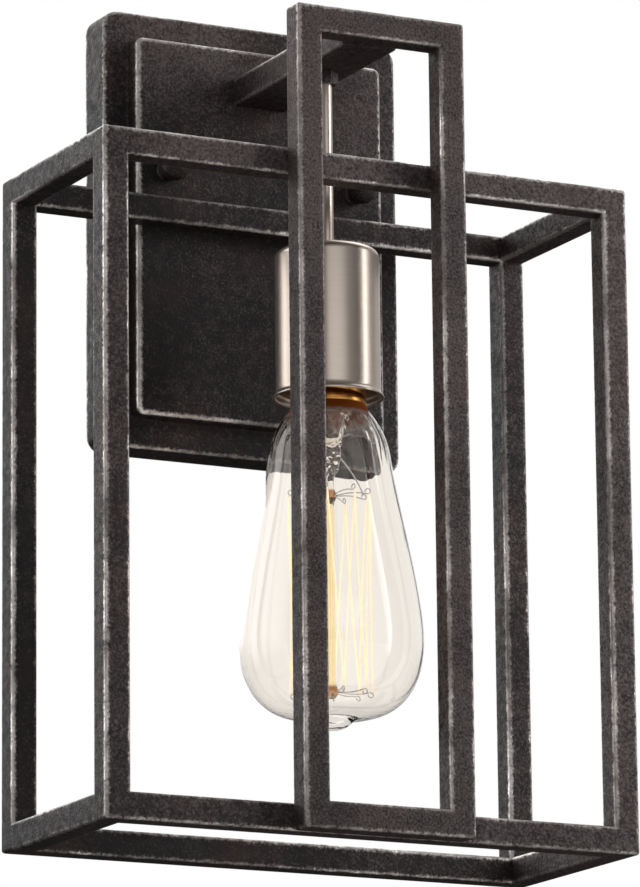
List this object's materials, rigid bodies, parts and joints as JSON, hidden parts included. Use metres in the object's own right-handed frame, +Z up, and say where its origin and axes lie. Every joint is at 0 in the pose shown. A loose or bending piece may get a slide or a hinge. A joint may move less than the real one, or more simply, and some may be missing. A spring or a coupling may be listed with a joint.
{
  "type": "vanity wall sconce",
  "caption": "Vanity wall sconce: a square-tube cage and a narrow front frame on a stepped rectangular backplate, with a bare filament bulb hanging in a cup from a flat arm.",
  "frame": {"origin": "centre of the mounting strap, midway between its two box-screw slots, on the face of the wall", "axes": "+X to the viewer's right, +Y into the wall, +Z up"},
  "size_m": [0.2032, 0.1161, 0.3084],
  "materials": {
    "dark_pewter": "near-black pewter powder coat, rubbed to silver grey at its edges",
    "brushed_nickel": "warm brushed nickel plate",
    "zinc_plate": "bright zinc plate",
    "green_screw": "green dyed zinc plate",
    "copper_wire": "bare drawn copper",
    "moulded_socket": "moulded cream heat-proof plastic",
    "brass": "stamped brass",
    "black_lead": "extruded insulation",
    "white_lead": "extruded insulation",
    "connector_shell": "moulded plastic",
    "clear_glass": "clear blown glass",
    "black_glass": "fused black insulator",
    "filament": "drawn filament wire, unlit and golden"
  },
  "bodies": {
    "root": {"backplate": "dark_pewter", "arm": "dark_pewter", "stem_jam_nut": "dark_pewter", "cage_top_front": "dark_pewter", "cage_top_back": "dark_pewter", "cage_top_left": "dark_pewter", "cage_top_right": "dark_pewter", "cage_bottom_front": "dark_pewter", "cage_bottom_back": "dark_pewter", "cage_bottom_left": "dark_pewter", "cage_bottom_right": "dark_pewter", "cage_post_front_left": "dark_pewter", "cage_post_front_right": "dark_pewter", "cage_post_back_left": "dark_pewter", "cage_post_back_right": "dark_pewter", "centre_top": "dark_pewter", "centre_bottom": "dark_pewter", "centre_post_left": "dark_pewter", "centre_post_right": "dark_pewter", "stem": "brushed_nickel", "cup": "brushed_nickel", "box_strap": "zinc_plate", "stud_strap": "zinc_plate", "strap_rivet": "zinc_plate", "mounting_studs": "zinc_plate", "stud_lock_nuts": "zinc_plate", "arm_foot_plate": "zinc_plate", "foot_studs": "zinc_plate", "foot_nuts": "zinc_plate", "stem_insert": "zinc_plate", "socket_bracket": "zinc_plate", "cup_lock_washer": "zinc_plate", "cup_nut": "zinc_plate", "bracket_screws": "zinc_plate", "ground_screw": "green_screw", "ground_wire": "copper_wire", "socket_body": "moulded_socket", "socket_shell": "brass", "centre_contact": "brass", "terminal_screws": "brass", "hot_lead": "black_lead", "neutral_lead": "white_lead", "wire_connectors": "connector_shell"},
    "bulb": {"bulb_glass": "clear_glass", "bulb_base": "brass", "base_insulator": "black_glass", "base_contact": "zinc_plate", "glass_mount": "clear_glass", "lead_in_wires": "zinc_plate", "filament_hooks": "zinc_plate", "filament": "filament"},
    "ball_nut_left": {"ball_nut_left": "dark_pewter"},
    "ball_nut_right": {"ball_nut_right": "dark_pewter"}
  },
  "joints": [
    {"name": "bulb_unscrew", "type": "slide", "parent": "root", "child": "bulb", "axis": [0, 0, -1], "range_m": [0, 0.03]},
    {"name": "ball_nut_left_turn", "type": "hinge", "parent": "root", "child": "ball_nut_left", "pos_m": [-0.0375, -0.0265, 0], "axis": [0, 1, 0], "continuous": true},
    {"name": "ball_nut_right_turn", "type": "hinge", "parent": "root", "child": "ball_nut_right", "pos_m": [0.0375, -0.0265, 0], "axis": [0, 1, 0], "continuous": true}
  ]
}
